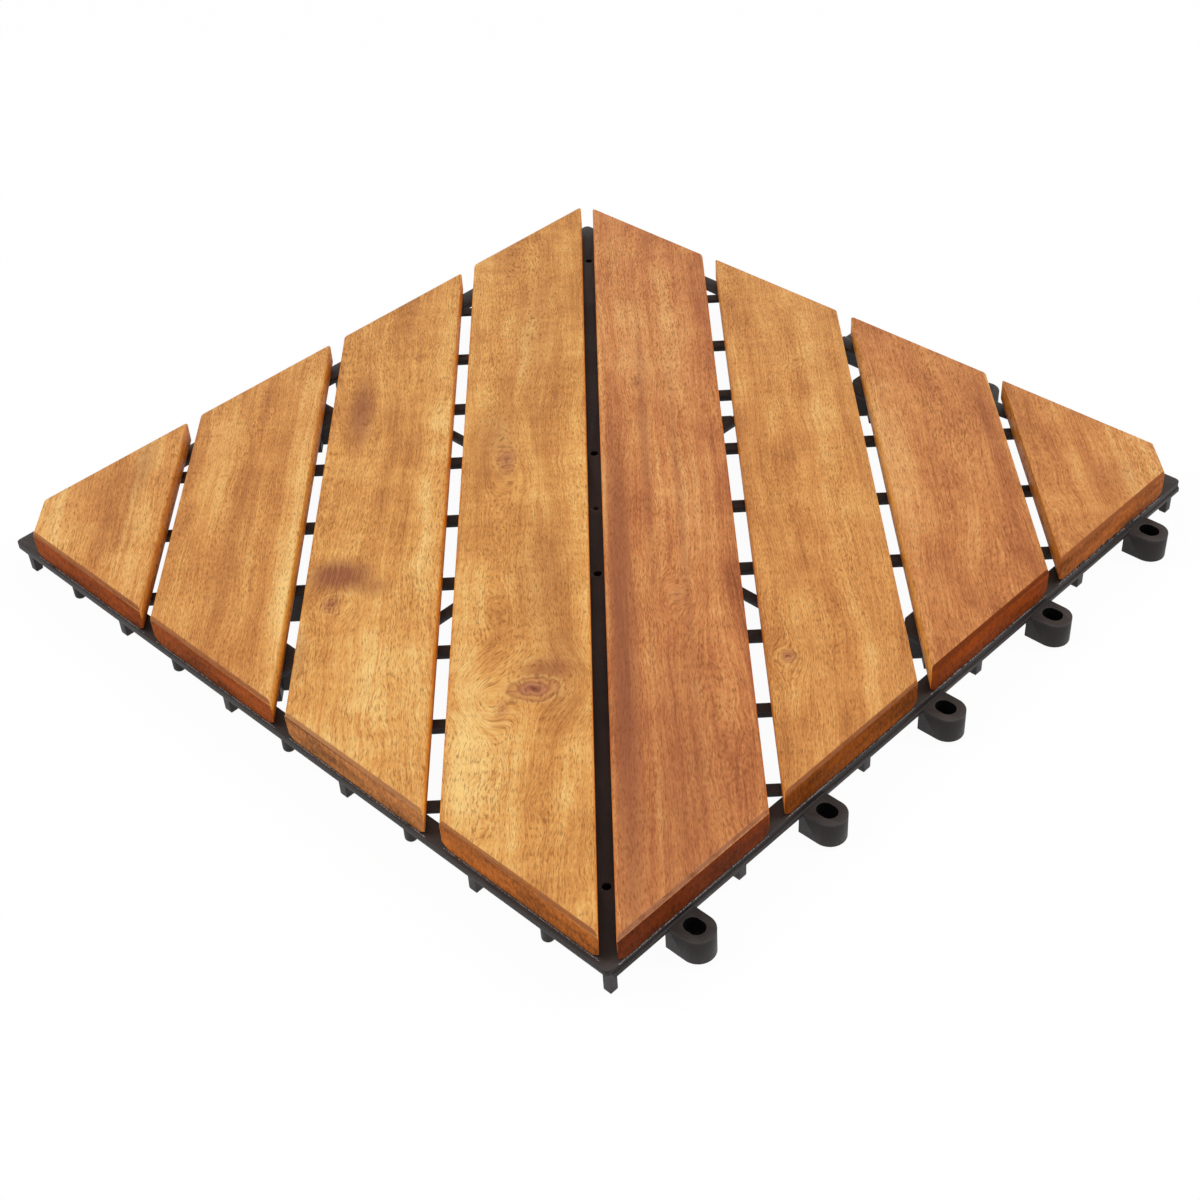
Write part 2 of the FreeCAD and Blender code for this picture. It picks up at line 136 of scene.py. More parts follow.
def pattern(tree, place, size_mm, detail=2.0, roughness=0.5, seed=0.0):
    """Noise at a place in millimetres, its marks about as long, wide and deep as size_mm."""
    scaled = node(tree, "ShaderNodeVectorMath", {0: place, 1: [1 / s for s in size_mm]},
                  operation="MULTIPLY").outputs[0]
    return node(tree, "ShaderNodeTexNoise",
                {"Vector": scaled, "W": seed, "Scale": 1.0, "Detail": detail,
                 "Roughness": roughness}, noise_dimensions="4D").outputs["Fac"]


def slat_place(tree):
    """Place in the slat frame, in millimetres: along the slats, across them, and up."""
    spot = node(tree, "ShaderNodeTexCoord").outputs["Object"]
    return node(tree, "ShaderNodeMapping",
                {"Vector": spot, "Rotation": (0, 0, -TURN), "Scale": (1 / MM,) * 3},
                vector_type="POINT").outputs["Vector"]


def slat_normal(tree):
    """Surface normal in the slat frame, split into its three parts."""
    normal = node(tree, "ShaderNodeTexCoord").outputs["Normal"]
    turned = node(tree, "ShaderNodeMapping", {"Vector": normal, "Rotation": (0, 0, -TURN)},
                  vector_type="POINT").outputs["Vector"]
    return node(tree, "ShaderNodeSeparateXYZ", {0: turned})


# Oiled acacia

class Board:
    """What one slat shows: where it was cut from, its tone, and its marks in the slat frame.

    Red goes from golden sapwood at 0 to russet heartwood at 1. Streaks and figure are how strong
    its dark lines and its curl are. Side is the colour that the oil gives the planed sides, with
    painted light in it, set board by board for how brightly its sides are lit. End and arris are
    the colours that the oil gives the sawn ends and their rubbed upper edges. A mark is given by
    its place along and across, its half length and half width in millimetres, and its strength.
    """

    def __init__(self, seed, red, streaks, figure, side, end, arris, knots=(), stains=(),
                 lights=(), round_mm=1.2):
        self.seed = seed
        self.red = red
        self.streaks = streaks
        self.figure = figure
        self.side = side
        self.end = end
        self.arris = arris
        self.knots = knots
        self.stains = stains
        self.lights = lights
        self.round_mm = round_mm


# The boards, from the tile's left corner to its right one as the camera sees it
BOARDS = {
    "slat_1": Board(1.3, 0.34, 0.7, 0.6, "#E6C084", "#8C4014", "#985F3C", round_mm=2.6,
                    stains=[(27, 168, 22, 4, 0.5), (-12, 172, 12, 8, 0.25)],
                    lights=[(-8, 190, 30, 8, 0.45), (-22, 160, 26, 5, 0.4)]),
    "slat_2": Board(5.1, 0.26, 0.7, 0.5, "#E9C477", "#8C4214", "#9C633F",
                    stains=[(-30, 128, 60, 7, 0.2)],
                    lights=[(-20, 108, 130, 7, 0.75)]),
    "slat_3": Board(8.7, 0.10, 0.6, 1.0, "#F5C868", "#B6733E", "#AE7850",
                    knots=[(-58, 90, 6, 4.5, 0.7)],
                    stains=[(-43, 88, 9, 11, 1.5), (-50, 76, 5, 6, 0.6), (56, 88, 22, 5, 1.0),
                            (-84, 98, 14, 3, 0.5)],
                    lights=[(-122, 68, 44, 16, 0.8), (20, 60, 120, 6, 0.55)]),
    "slat_4": Board(12.9, 0.08, 0.6, 1.0, "#FFCE80", "#AE6126", "#985E38",
                    knots=[(-105, 21, 7.5, 11, 1.0), (20, 32, 12, 4.5, 0.7),
                           (-114, 31, 6, 3, 0.45)],
                    stains=[(-96, 17, 6, 9, 0.9), (-96, 12, 26, 7, 0.35), (34, 36, 24, 8, 0.4),
                            (-50, 18, 40, 10, 0.35), (100, 22, 60, 10, 0.25)],
                    lights=[(-100, 42, 62, 7, 1.3), (-150, 35, 40, 10, 0.9),
                            (0, 8, 60, 5, 0.45)]),
    "slat_5": Board(17.3, 1.0, 1.0, 0.5, "#FFD898", "#692A06", "#A36C4E",
                    knots=[(-62, -26.5, 5, 3.2, 0.45), (67, -17.5, 6, 3.5, 0.5)],
                    stains=[(-90, -8, 130, 4.5, 1.2), (-150, -24, 60, 14, 0.4),
                            (30, -19, 90, 2, 0.6), (-20, -30, 110, 1.6, 0.5)],
                    # Its first light is painted highlight: a thin pale line along its top edge by
                    # the centre rib
                    lights=[(0, -3.4, 190, 0.9, 0.8), (20, -32, 200, 12, 0.45),
                            (110, -20, 60, 20, 0.6), (-100, -16, 80, 2, 0.5)]),
    "slat_6": Board(21.1, 0.36, 0.5, 0.6, "#FFEAB0", "#834006", "#975C38", round_mm=0.8,
                    knots=[(-95.6, -60.4, 4.5, 3.6, 0.8)]),
    "slat_7": Board(26.4, 0.88, 0.4, 0.5, "#FFF8B8", "#803604", "#6C3010", round_mm=1.0,
                    lights=[(25, -112, 48, 6, 0.8), (36, -106, 60, 3, 0.6)]),
    "slat_8": Board(30.8, 0.66, 0.6, 0.9, "#CFB274", "#9E5726", "#925430", round_mm=0.6,
                    stains=[(-8, -184, 12, 9, 0.3)],
                    lights=[(10, -199, 24, 5, 0.6), (4, -172, 16, 3, 0.45)]),
}

# Planed and oiled: satin, golden sapwood to russet heartwood, with open pores as dark dashes
SAPWOOD = ["#9D6230", "#CC8B49", "#E2A45A", "#F7CF83"]
HEARTWOOD = ["#8D4B2D", "#B87043", "#CE864F", "#E9AE6E"]
# Tones of the grain at which those colours lie
TONES = (0.02, 0.38, 0.60, 1.0)
# Painted light: how much paler the grain is made on the planed sides than on the sanded top, for
# the light that falls on them
SIDE_PAINTED_LIGHT = 0.30
# What lies over the grain: reddish stains, open pores, and specks of dust and filler
RED_STAIN = "#93573A"
PORE = "#7E4A22"
FLECK = "#FBEBCF"
# A knot from its heart outwards, each colour with its place and how much of it covers the grain
KNOT_RINGS = [(0.0, "#6E3D2A", 1.0), (0.16, "#8E5238", 0.95), (0.30, "#B97A58", 0.85),
              (0.44, "#A0623F", 0.9), (0.58, "#C98E5A", 0.6), (0.72, "#9C6038", 0.6),
              (0.86, "#E2AE6C", 0.5), (1.0, "#C98E52", 0.0)]

# Real sizes of the wood's marks, in millimetres: along, across and deep
SWAY_MM = (150, 28, 28)
BAND_MM = (260, 11, 14)
LINE_MM = (110, 2.4, 5)
FIBRE_MM = (26, 0.6, 2)
GRIT_MM = (1.8, 0.5, 1)
CLOUD_MM = (34, 13, 13)
CURL_MM = (6, 22, 22)
RIPPLE_MM = (16, 14, 14)
PORE_MM = (2.6, 0.36, 1.0)
PORE_DRIFT_MM = (45, 9, 9)
FLECK_MM = (9, 9, 9)
END_GRAIN_MM = (1.0, 1.0, 1.8)
END_DRIFT_MM = (22, 22, 5)
END_WEAR_MM = (5, 5, 2)


def around_spot(tree, place, spot):
    """Distance from a mark's middle in its own half sizes, and the place measured from it."""
    along, across, long_mm, wide_mm = spot[:4]
    shifted = node(tree, "ShaderNodeVectorMath", {0: place, 1: (along, across, 0)},
                   operation="SUBTRACT").outputs[0]
    scaled = node(tree, "ShaderNodeVectorMath", {0: shifted, 1: (1 / long_mm, 1 / wide_mm, 0)},
                  operation="MULTIPLY").outputs[0]
    reach = node(tree, "ShaderNodeVectorMath", {0: scaled}, operation="LENGTH").outputs["Value"]
    return reach, shifted


def spot_share(tree, place, spot):
    """Soft oval round a mark: 1 in its middle, gone at one and a half times its size."""
    reach, _ = around_spot(tree, place, spot)
    return node(tree, "ShaderNodeMapRange", {0: reach, 1: 0.1, 2: 1.5, 3: 1.0, 4: 0.0},
                interpolation_type="SMOOTHSTEP").outputs[0]


def flow_round(tree, place, board):
    """Place whose lines sway, ripple where the wood is curly, and part round the knots."""
    sway_by_mm, ripple_by_mm = 11.0, 2.4 * board.figure
    spread, parting = 2.4, (0.1, 0.8, 0)
    sway = pattern(tree, place, SWAY_MM, 1.0, seed=board.seed)
    bend = node(tree, "ShaderNodeMapRange", {0: sway, 3: -sway_by_mm, 4: sway_by_mm}).outputs[0]
    ripple = pattern(tree, place, RIPPLE_MM, 1.0, seed=board.seed + 7)
    ripple = node(tree, "ShaderNodeMapRange", {0: ripple, 3: -ripple_by_mm,
                                               4: ripple_by_mm}).outputs[0]
    bend = node(tree, "ShaderNodeMath", {0: bend, 1: ripple}, operation="ADD").outputs[0]
    shift = node(tree, "ShaderNodeCombineXYZ", {1: bend}).outputs[0]
    flowing = node(tree, "ShaderNodeVectorMath", {0: place, 1: shift}, operation="ADD").outputs[0]
    for along, across, long_mm, wide_mm, _ in board.knots:
        wide = (along, across, long_mm * spread, wide_mm * spread)
        share = spot_share(tree, place, wide)
        _, shifted = around_spot(tree, place, wide)
        bent = node(tree, "ShaderNodeVectorMath", {0: shifted, 1: parting},
                    operation="MULTIPLY").outputs[0]
        pushed = node(tree, "ShaderNodeVectorMath", {0: bent, "Scale": share},
                      operation="SCALE").outputs[0]
        flowing = node(tree, "ShaderNodeVectorMath", {0: flowing, 1: pushed},
                       operation="SUBTRACT").outputs[0]
    return flowing


def grain_tone(tree, place, flowing, board):
    """Tone of the grain, from 0 for dark streaks to 1 for pale wood, and the fibre lines."""
    lift = 0.3
    fibre = pattern(tree, flowing, FIBRE_MM, 2.0, 0.6, board.seed)
    layers = [
        (pattern(tree, flowing, BAND_MM, 2.0, seed=board.seed), 0.8),
        (pattern(tree, flowing, LINE_MM, 3.0, 0.6, board.seed), 0.8 * board.streaks),
        (pattern(tree, place, CLOUD_MM, 3.0, 0.6, board.seed + 3), 0.9),
        (pattern(tree, flowing, CURL_MM, 2.0, seed=board.seed + 5), 0.4 * board.figure),
        (pattern(tree, flowing, GRIT_MM, 2.0, 0.6, board.seed), 0.7),
        (fibre, 0.75),
    ]
    tone = 0.5 - 0.5 * sum(weight for _, weight in layers)
    for noise, weight in layers:
        tone = node(tree, "ShaderNodeMath", {0: noise, 1: weight, 2: tone},
                    operation="MULTIPLY_ADD").outputs[0]
    # Pale lights lift the tone; slat_5's first one is painted highlight along its top edge
    for light in board.lights:
        share = spot_share(tree, place, light)
        tone = node(tree, "ShaderNodeMath", {0: share, 1: lift * light[4], 2: tone},
                    operation="MULTIPLY_ADD").outputs[0]
    return tone, fibre


def pore_dashes(tree, flowing, board):
    """Share of each point that lies in an open pore, seen as a short dash along the grain."""
    patchy, starts, full = 0.22, 0.65, 0.76
    dash = pattern(tree, flowing, PORE_MM, 1.0, 0.5, board.seed)
    drift = pattern(tree, flowing, PORE_DRIFT_MM, 2.0, 0.5, board.seed + 13)
    level = node(tree, "ShaderNodeMath", {0: drift, 1: patchy, 2: dash},
                 operation="MULTIPLY_ADD").outputs[0]
    return node(tree, "ShaderNodeMapRange", {0: level, 1: starts, 2: full}).outputs[0]


def lay_knots(tree, colour, place, board):
    """Draw each knot's heart and rings over the grain, a little crooked."""
    waves_per_mm, crook_mm = (0.28, 0.4, 0.4), 1.6
    wobble = node(tree, "ShaderNodeVectorMath", {0: place, 1: waves_per_mm},
                  operation="MULTIPLY").outputs[0]
    wobble = node(tree, "ShaderNodeTexNoise", {"Vector": wobble, "Scale": 1.0, "Detail": 2.0})
    wobble = node(tree, "ShaderNodeMapRange", {"Vector": wobble.outputs["Color"],
                                               9: (-crook_mm, -crook_mm, 0),
                                               10: (crook_mm, crook_mm, 0)},
                  data_type="FLOAT_VECTOR").outputs["Vector"]
    crooked = node(tree, "ShaderNodeVectorMath", {0: place, 1: wobble},
                   operation="ADD").outputs[0]
    for knot in board.knots:
        reach, _ = around_spot(tree, crooked, knot)
        rings = node(tree, "ShaderNodeValToRGB", {0: reach})
        stops = rings.color_ramp.elements
        while len(stops) < len(KNOT_RINGS):
            stops.new(0.5)
        for stop, (at, hue, cover) in zip(stops, KNOT_RINGS):
            stop.position = at
            stop.color = linear(hue)[:3] + [cover]
        share = node(tree, "ShaderNodeMath", {0: rings.outputs[1], 1: knot[4]},
                     operation="MULTIPLY").outputs[0]
        colour = node(tree, "ShaderNodeMix", {0: share, 6: colour, 7: rings.outputs[0]},
                      data_type="RGBA").outputs[2]
    return colour


def scatter_flecks(tree, colour, place, board):
    """Tiny pale specks of dust and filler, in a few of the cells of a fine pattern."""
    rare, core, rim, cover = 0.85, 0.02, 0.055, 0.6
    scaled = node(tree, "ShaderNodeVectorMath", {0: place, 1: [1 / s for s in FLECK_MM]},
                  operation="MULTIPLY").outputs[0]
    cells = node(tree, "ShaderNodeTexVoronoi", {"Vector": scaled, "W": board.seed, "Scale": 1.0},
                 voronoi_dimensions="4D")
    chosen = node(tree, "ShaderNodeSeparateColor", {0: cells.outputs["Color"]}).outputs[1]
    chosen = node(tree, "ShaderNodeMath", {0: chosen, 1: rare},
                  operation="GREATER_THAN").outputs[0]
    fleck = node(tree, "ShaderNodeMapRange", {0: cells.outputs["Distance"], 1: core, 2: rim,
                                              3: cover, 4: 0.0}).outputs[0]
    fleck = node(tree, "ShaderNodeMath", {0: fleck, 1: chosen}, operation="MULTIPLY").outputs[0]
    return node(tree, "ShaderNodeMix", {0: fleck, 6: colour, 7: linear(FLECK)},
                data_type="RGBA").outputs[2]


def sawn_end(tree, place, board, up):
    """Colour of an end: pores and fibres cut across are mottled, and the arris is rubbed."""
    drift_weight, darkest, palest, least_wear = 0.9, 0.45, 1.5, 0.35
    mottle = pattern(tree, place, END_GRAIN_MM, 3.0, 0.65, board.seed)
    drift = pattern(tree, place, END_DRIFT_MM, 2.0, seed=board.seed + 2)
    mottle = node(tree, "ShaderNodeMath", {0: drift, 1: drift_weight, 2: mottle},
                  operation="MULTIPLY_ADD").outputs[0]
    mottle = node(tree, "ShaderNodeMapRange", {0: mottle, 1: 0.70, 2: 1.20,
                                               3: darkest, 4: palest}).outputs[0]
    ends = node(tree, "ShaderNodeVectorMath", {0: linear(board.end)[:3], "Scale": mottle},
                operation="SCALE").outputs[0]
    feathered = pattern(tree, place, END_WEAR_MM, 3.0, 0.7, board.seed + 4)
    arris = node(tree, "ShaderNodeMapRange", {0: up, 1: 0.30, 2: 0.60}).outputs[0]
    worn = node(tree, "ShaderNodeMapRange", {0: feathered, 1: 0.34, 2: 0.54,
                                             3: least_wear}).outputs[0]
    worn = node(tree, "ShaderNodeMath", {0: worn, 1: arris}, operation="MULTIPLY").outputs[0]
    return node(tree, "ShaderNodeMix", {0: worn, 6: ends, 7: linear(board.arris)},
                data_type="RGBA").outputs[2]


def oiled_acacia(name, board):
    """Oiled acacia: planed, sanded on top, its ends sawn at 45 degrees to the grain.

    The oil leaves a satin face, the open pores stay dull and dark, and the sawn ends, which
    drink more oil, are deeper in colour and duller.
    """
    stain_gain, pore_cover, dull_pore, dull_end = 1.5, 0.5, 0.25, 0.25
    material, tree, shader = new_material(f"oiled_acacia_{name}")
    place = slat_place(tree)
    flowing = flow_round(tree, place, board)
    tone, fibre = grain_tone(tree, place, flowing, board)
    pores = pore_dashes(tree, flowing, board)

    normal = slat_normal(tree)
    up = normal.outputs[2]
    level = node(tree, "ShaderNodeMapRange", {0: up, 1: 0.45, 2: 0.90}).outputs[0]
    # Painted light: the grain is made paler on the sides, for the light that falls on them
    paler = node(tree, "ShaderNodeMapRange", {0: level, 3: SIDE_PAINTED_LIGHT, 4: 0.0}).outputs[0]
    tone = node(tree, "ShaderNodeMath", {0: tone, 1: paler}, operation="ADD").outputs[0]
    grain = node(tree, "ShaderNodeValToRGB", {0: tone})
    stops = grain.color_ramp.elements
    while len(stops) < len(TONES):
        stops.new(0.5)
    for stop, at, sap, heart in zip(stops, TONES, SAPWOOD, HEARTWOOD):
        stop.position = at
        stop.color = [a + (b - a) * board.red for a, b in zip(linear(sap), linear(heart))]
    colour = grain.outputs[0]
    for stain in board.stains:
        share = spot_share(tree, place, stain)
        patchy = node(tree, "ShaderNodeMath", {0: share, 1: fibre},
                      operation="MULTIPLY").outputs[0]
        patchy = node(tree, "ShaderNodeMath", {0: patchy, 1: stain_gain * stain[4]},
                      operation="MULTIPLY", use_clamp=True).outputs[0]
        colour = node(tree, "ShaderNodeMix", {0: patchy, 6: colour, 7: linear(RED_STAIN)},
                      data_type="RGBA").outputs[2]
    colour = lay_knots(tree, colour, place, board)
    cover = node(tree, "ShaderNodeMath", {0: pores, 1: pore_cover},
                 operation="MULTIPLY").outputs[0]
    colour = node(tree, "ShaderNodeMix", {0: cover, 6: colour, 7: linear(PORE)},
                  data_type="RGBA").outputs[2]
    colour = scatter_flecks(tree, colour, place, board)

    endwise = node(tree, "ShaderNodeMath", {0: normal.outputs[0]},
                   operation="ABSOLUTE").outputs[0]
    end_face = node(tree, "ShaderNodeMapRange", {0: endwise, 1: 0.25, 2: 0.45}).outputs[0]
    # The sides take their board's side colour, which carries painted light for how brightly they
    # are lit
    side = node(tree, "ShaderNodeMix", {0: 1.0, 6: colour, 7: linear(board.side)},
                data_type="RGBA", blend_type="MULTIPLY").outputs[2]
    side = node(tree, "ShaderNodeMix", {0: level, 6: side, 7: colour},
                data_type="RGBA").outputs[2]
    ends = sawn_end(tree, place, board, up)
    shown = node(tree, "ShaderNodeMix", {0: end_face, 6: side, 7: ends},
                 data_type="RGBA").outputs[2]
    tree.links.new(shown, shader.inputs["Base Color"])

    gloss = node(tree, "ShaderNodeMapRange", {0: fibre, 1: 0.3, 2: 0.7,
                                              3: 0.46, 4: 0.60}).outputs[0]
    gloss = node(tree, "ShaderNodeMath", {0: pores, 1: dull_pore, 2: gloss},
                 operation="MULTIPLY_ADD").outputs[0]
    gloss = node(tree, "ShaderNodeMath", {0: end_face, 1: dull_end, 2: gloss},
                 operation="MULTIPLY_ADD", use_clamp=True).outputs[0]
    tree.links.new(gloss, shader.inputs["Roughness"])
    height = node(tree, "ShaderNodeMath", {0: pores, 1: -1.0, 2: fibre},
                  operation="MULTIPLY_ADD").outputs[0]
    bump = node(tree, "ShaderNodeBump", {"Height": height, "Strength": 0.4, "Distance": 0.1 * MM})
    tree.links.new(bump.outputs[0], shader.inputs["Normal"])
    # Oil that has soaked in shines less than its index alone says
    shader.inputs["IOR"].default_value = 1.47
    shader.inputs["Specular IOR Level"].default_value = 0.12
    return material


# Moulded polypropylene

# Its own black, its paler edges, partly rubbed and partly painted highlight, the dust on its
# level faces, and the painted shade inside its holes
PLASTIC = "#292423"
PLASTIC_RUBBED_AND_HIGHLIGHT = "#9A9292"
PLASTIC_DUST = "#433A35"
PLASTIC_PAINTED_SHADE = "#0E0C0C"
MOULD_GRAIN_MM = (0.6, 0.6, 0.6)
DUST_MM = (24, 24, 12)


def moulded_polypropylene():
    """Black polypropylene, moulded: satin, finely textured, with paler edges that are partly
    rubbed wear and partly painted highlight, and dust.

    The grain of the mould is finer than a pixel, so it is drawn at 0.6 mm to show at all.
    """
    material, tree, shader = new_material("moulded_polypropylene_black")
    place = slat_place(tree)
    cloud = pattern(tree, place, DUST_MM, 3.0, 0.6)
    grit = pattern(tree, place, MOULD_GRAIN_MM, 2.0, 0.6)
    up = slat_normal(tree).outputs[2]
    level = node(tree, "ShaderNodeMapRange", {0: up, 1: 0.80, 2: 0.99}).outputs[0]
    slope = node(tree, "ShaderNodeMapRange", {0: up, 1: 0.15, 2: 0.55}).outputs[0]
    edge = node(tree, "ShaderNodeMath", {0: slope, 1: level}, operation="SUBTRACT",
                use_clamp=True).outputs[0]
    # Paler edges on the bevels: partly rubbed wear, partly painted highlight
    rubbed = node(tree, "ShaderNodeMapRange", {0: cloud, 1: 0.35, 2: 0.65,
                                               3: 0.35, 4: 0.95}).outputs[0]
    rubbed = node(tree, "ShaderNodeMath", {0: rubbed, 1: edge}, operation="MULTIPLY").outputs[0]
    dust = node(tree, "ShaderNodeMapRange", {0: cloud, 1: 0.35, 2: 0.65,
                                             3: 0.12, 4: 0.75}).outputs[0]
    dust = node(tree, "ShaderNodeMath", {0: dust, 1: level}, operation="MULTIPLY").outputs[0]
    colour = node(tree, "ShaderNodeMix", {0: dust, 6: linear(PLASTIC), 7: linear(PLASTIC_DUST)},
                  data_type="RGBA").outputs[2]
    colour = node(tree, "ShaderNodeMix", {0: rubbed, 6: colour, 7: linear(PLASTIC_RUBBED_AND_HIGHLIGHT)},
                  data_type="RGBA").outputs[2]
    tree.links.new(colour, shader.inputs["Base Color"])
    gloss = node(tree, "ShaderNodeMapRange", {0: grit, 1: 0.3, 2: 0.7,
                                              3: 0.42, 4: 0.60}).outputs[0]
    tree.links.new(gloss, shader.inputs["Roughness"])
    bump = node(tree, "ShaderNodeBump", {"Height": grit, "Strength": 0.25, "Distance": 0.08 * MM})
    tree.links.new(bump.outputs[0], shader.inputs["Normal"])
    shader.inputs["IOR"].default_value = 1.49
    shader.inputs["Specular IOR Level"].default_value = 0.22
    return material


def painted_shade_polypropylene():
    """The same plastic inside deep holes, with painted shade: almost black, dull and unrubbed."""
    material, tree, shader = new_material("moulded_polypropylene_painted_shade")
    grit = pattern(tree, slat_place(tree), MOULD_GRAIN_MM, 2.0, 0.6)
    gloss = node(tree, "ShaderNodeMapRange", {0: grit, 1: 0.3, 2: 0.7,
                                              3: 0.85, 4: 0.95}).outputs[0]
    tree.links.new(gloss, shader.inputs["Roughness"])
    shader.inputs["Base Color"].default_value = linear(PLASTIC_PAINTED_SHADE)
    shader.inputs["Specular IOR Level"].default_value = 0.05
    return material


# Zinc-plated steel

ZINC_DULL = "#A9A79F"
ZINC_BRIGHT = "#CFCBBE"
ZINC_PATCH_MM = (1.4, 1.4, 1.4)


def zinc_plated_steel():
    """Zinc-plated steel, bright passivated: grey metal with a faint yellow and dull patches."""
    material, tree, shader = new_material("zinc_plated_steel")
    patches = pattern(tree, slat_place(tree), ZINC_PATCH_MM, 3.0, 0.6)
    colour = node(tree, "ShaderNodeMix", {0: patches, 6: linear(ZINC_DULL),
                                          7: linear(ZINC_BRIGHT)},
                  data_type="RGBA").outputs[2]
    gloss = node(tree, "ShaderNodeMapRange", {0: patches, 1: 0.3, 2: 0.7,
                                              3: 0.24, 4: 0.42}).outputs[0]
    tree.links.new(colour, shader.inputs["Base Color"])
    tree.links.new(gloss, shader.inputs["Roughness"])
    shader.inputs["Metallic"].default_value = 1.0
    return material


# Meshes

def add_piece(name, mesh, material, nodes):
    """Put a finished mesh on the part's body in place of its nodes."""
    mesh.materials.clear()
    mesh.materials.append(material)
    piece = bpy.data.objects.new(name, mesh)
    bpy.context.scene.collection.objects.link(piece)
    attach(piece, "root")
    if nodes:
        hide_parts(*nodes)


def finished_mesh(shape, name):
    """Turn the faces of a shape outwards, keep it as a mesh and free it."""
    bmesh.ops.recalc_face_normals(shape, faces=shape.faces)
    mesh = bpy.data.meshes.new(name)
    shape.to_mesh(mesh)
    shape.free()
    return mesh


def shade_smooth(mesh, degrees):
    """Shade a mesh smooth, apart from edges sharper than this."""
    for face in mesh.polygons:
        face.use_smooth = True
    mesh.set_sharp_from_angle(angle=math.radians(degrees))


def bevel_edges(shape, width, segments, chosen):
    """Round the edges of a mesh that the test picks."""
    edges = [edge for edge in shape.edges if edge.is_manifold and chosen(edge)]
    bmesh.ops.bevel(shape, geom=edges, offset=width, offset_type="OFFSET", segments=segments,
                    profile=0.5, affect="EDGES", clamp_overlap=True)


def is_sharper(edge, degrees):
    """Whether the two faces at an edge turn by more than this."""
    return edge.calc_face_angle(0) > math.radians(degrees)


def eased_mesh(source, name, width, first_width, first_chosen, change=None):
    """Copy of a node's mesh with some edges rounded by a first width, then all sharp ones.

    The change, if there is one, is made to the shape before its edges are rounded.
    """
    flat_degrees, sharp_degrees, crisp_degrees = 0.5, 28, 50
    first_segments, segments = 4, 2
    shape = bmesh.new()
    shape.from_mesh(source.data)
    bmesh.ops.remove_doubles(shape, verts=shape.verts, dist=WELD)
    bmesh.ops.dissolve_limit(shape, angle_limit=math.radians(flat_degrees), verts=shape.verts,
                             edges=shape.edges, delimit=set())
    if change:
        change(shape)
    bevel_edges(shape, first_width, first_segments, first_chosen)
    bevel_edges(shape, width, segments, lambda edge: is_sharper(edge, sharp_degrees))
    mesh = finished_mesh(shape, name)
    shade_smooth(mesh, crisp_degrees)
    return mesh


def is_long_arris(edge):
    """Whether an edge is one of a slat's long upper ones."""
    near, parallel = 0.01 * MM, 0.99
    ends = [vert.co for vert in edge.verts]
    return (all(abs(co.z - DECK_LEVEL) < near for co in ends)
            and abs((ends[1] - ends[0]).normalized().dot(ALONG)) > parallel)


def is_toe(edge):
    """Whether an edge is at the foot of a leg or pin."""
    turn_degrees = 60
    return (all(vert.co.z < TOE_MM * MM for vert in edge.verts)
            and is_sharper(edge, turn_degrees))


def shorten_loops(shape):
    """Let the loops start at the lip instead of behind the rim, as on the moulding."""
    near_mm, level_mm = 0.05, 0.01
    inner = TILE_HALF - RIM_MM * MM
    for vert in shape.verts:
        for side, sign in ((1, -1), (0, 1)):
            depth = vert.co[side] * sign
            aside = abs((vert.co[1 - side] / MM + PITCH_MM / 2) % PITCH_MM - PITCH_MM / 2)
            if (abs(depth - inner) < near_mm * MM and abs(aside - LOOP_MM / 2) < near_mm
                    and vert.co.z < LOOP_TOP_MM * MM + level_mm * MM):
                vert.co[side] = sign * (TILE_HALF - LOOP_ROOT_MM * MM)


def shade_holes(mesh):
    """Give the walls of the loops' holes the second material, their painted shade."""
    tilt_limit = 0.5
    for face in mesh.polygons:
        if abs(face.normal.z) > tilt_limit:
            continue
        for side, sign in ((1, -1), (0, 1)):
            depth = face.center[side] * sign - TILE_HALF - HOLE_OUT_MM * MM
            aside = (face.center[1 - side] / MM + PITCH_MM / 2) % PITCH_MM - PITCH_MM / 2
            if abs(depth) < HOLE_REACH_MM * MM and abs(aside) < HOLE_ASIDE_MM:
                face.material_index = 1


def vent_shade_floors():
    """Thin dark floors of painted shade that close the round vents in the centre rib a little
    below its top.
    """
    steps = 24
    level = Vector((0, 0, GRID_TOP - VENT_DEEP_MM * MM))
    shape = bmesh.new()
    for bar in VENT_BARS:
        ring = []
        for i in range(steps):
            angle = 2 * math.pi * i / steps
            reach = Vector((math.cos(angle), math.sin(angle), 0)) * VENT_MM / 2 * MM
            ring.append(shape.verts.new(ALONG * bar * BAR_PITCH_MM * MM + reach + level))
        top = shape.faces.new(ring)
        grown = bmesh.ops.extrude_face_region(shape, geom=[top])["geom"]
        bmesh.ops.translate(shape, vec=(0, 0, -VENT_SHADE_FLOOR_MM * MM),
                            verts=[v for v in grown if isinstance(v, bmesh.types.BMVert)])
    return finished_mesh(shape, "vent_shade_floors")


def islands(mesh):
    """Vertex places of each separate solid of a mesh, in the order of its vertices."""
    shape = bmesh.new()
    shape.from_mesh(mesh)
    bmesh.ops.remove_doubles(shape, verts=shape.verts, dist=WELD)
    seen = set()
    found = []
    for first in shape.verts:
        if first in seen:
            continue
        seen.add(first)
        group, waiting = [], [first]
        while waiting:
            vert = waiting.pop()
            group.append(vert.co.copy())
            for edge in vert.link_edges:
                other = edge.other_vert(vert)
                if other not in seen:
                    seen.add(other)
                    waiting.append(other)
        found.append(group)
    shape.free()
    return found


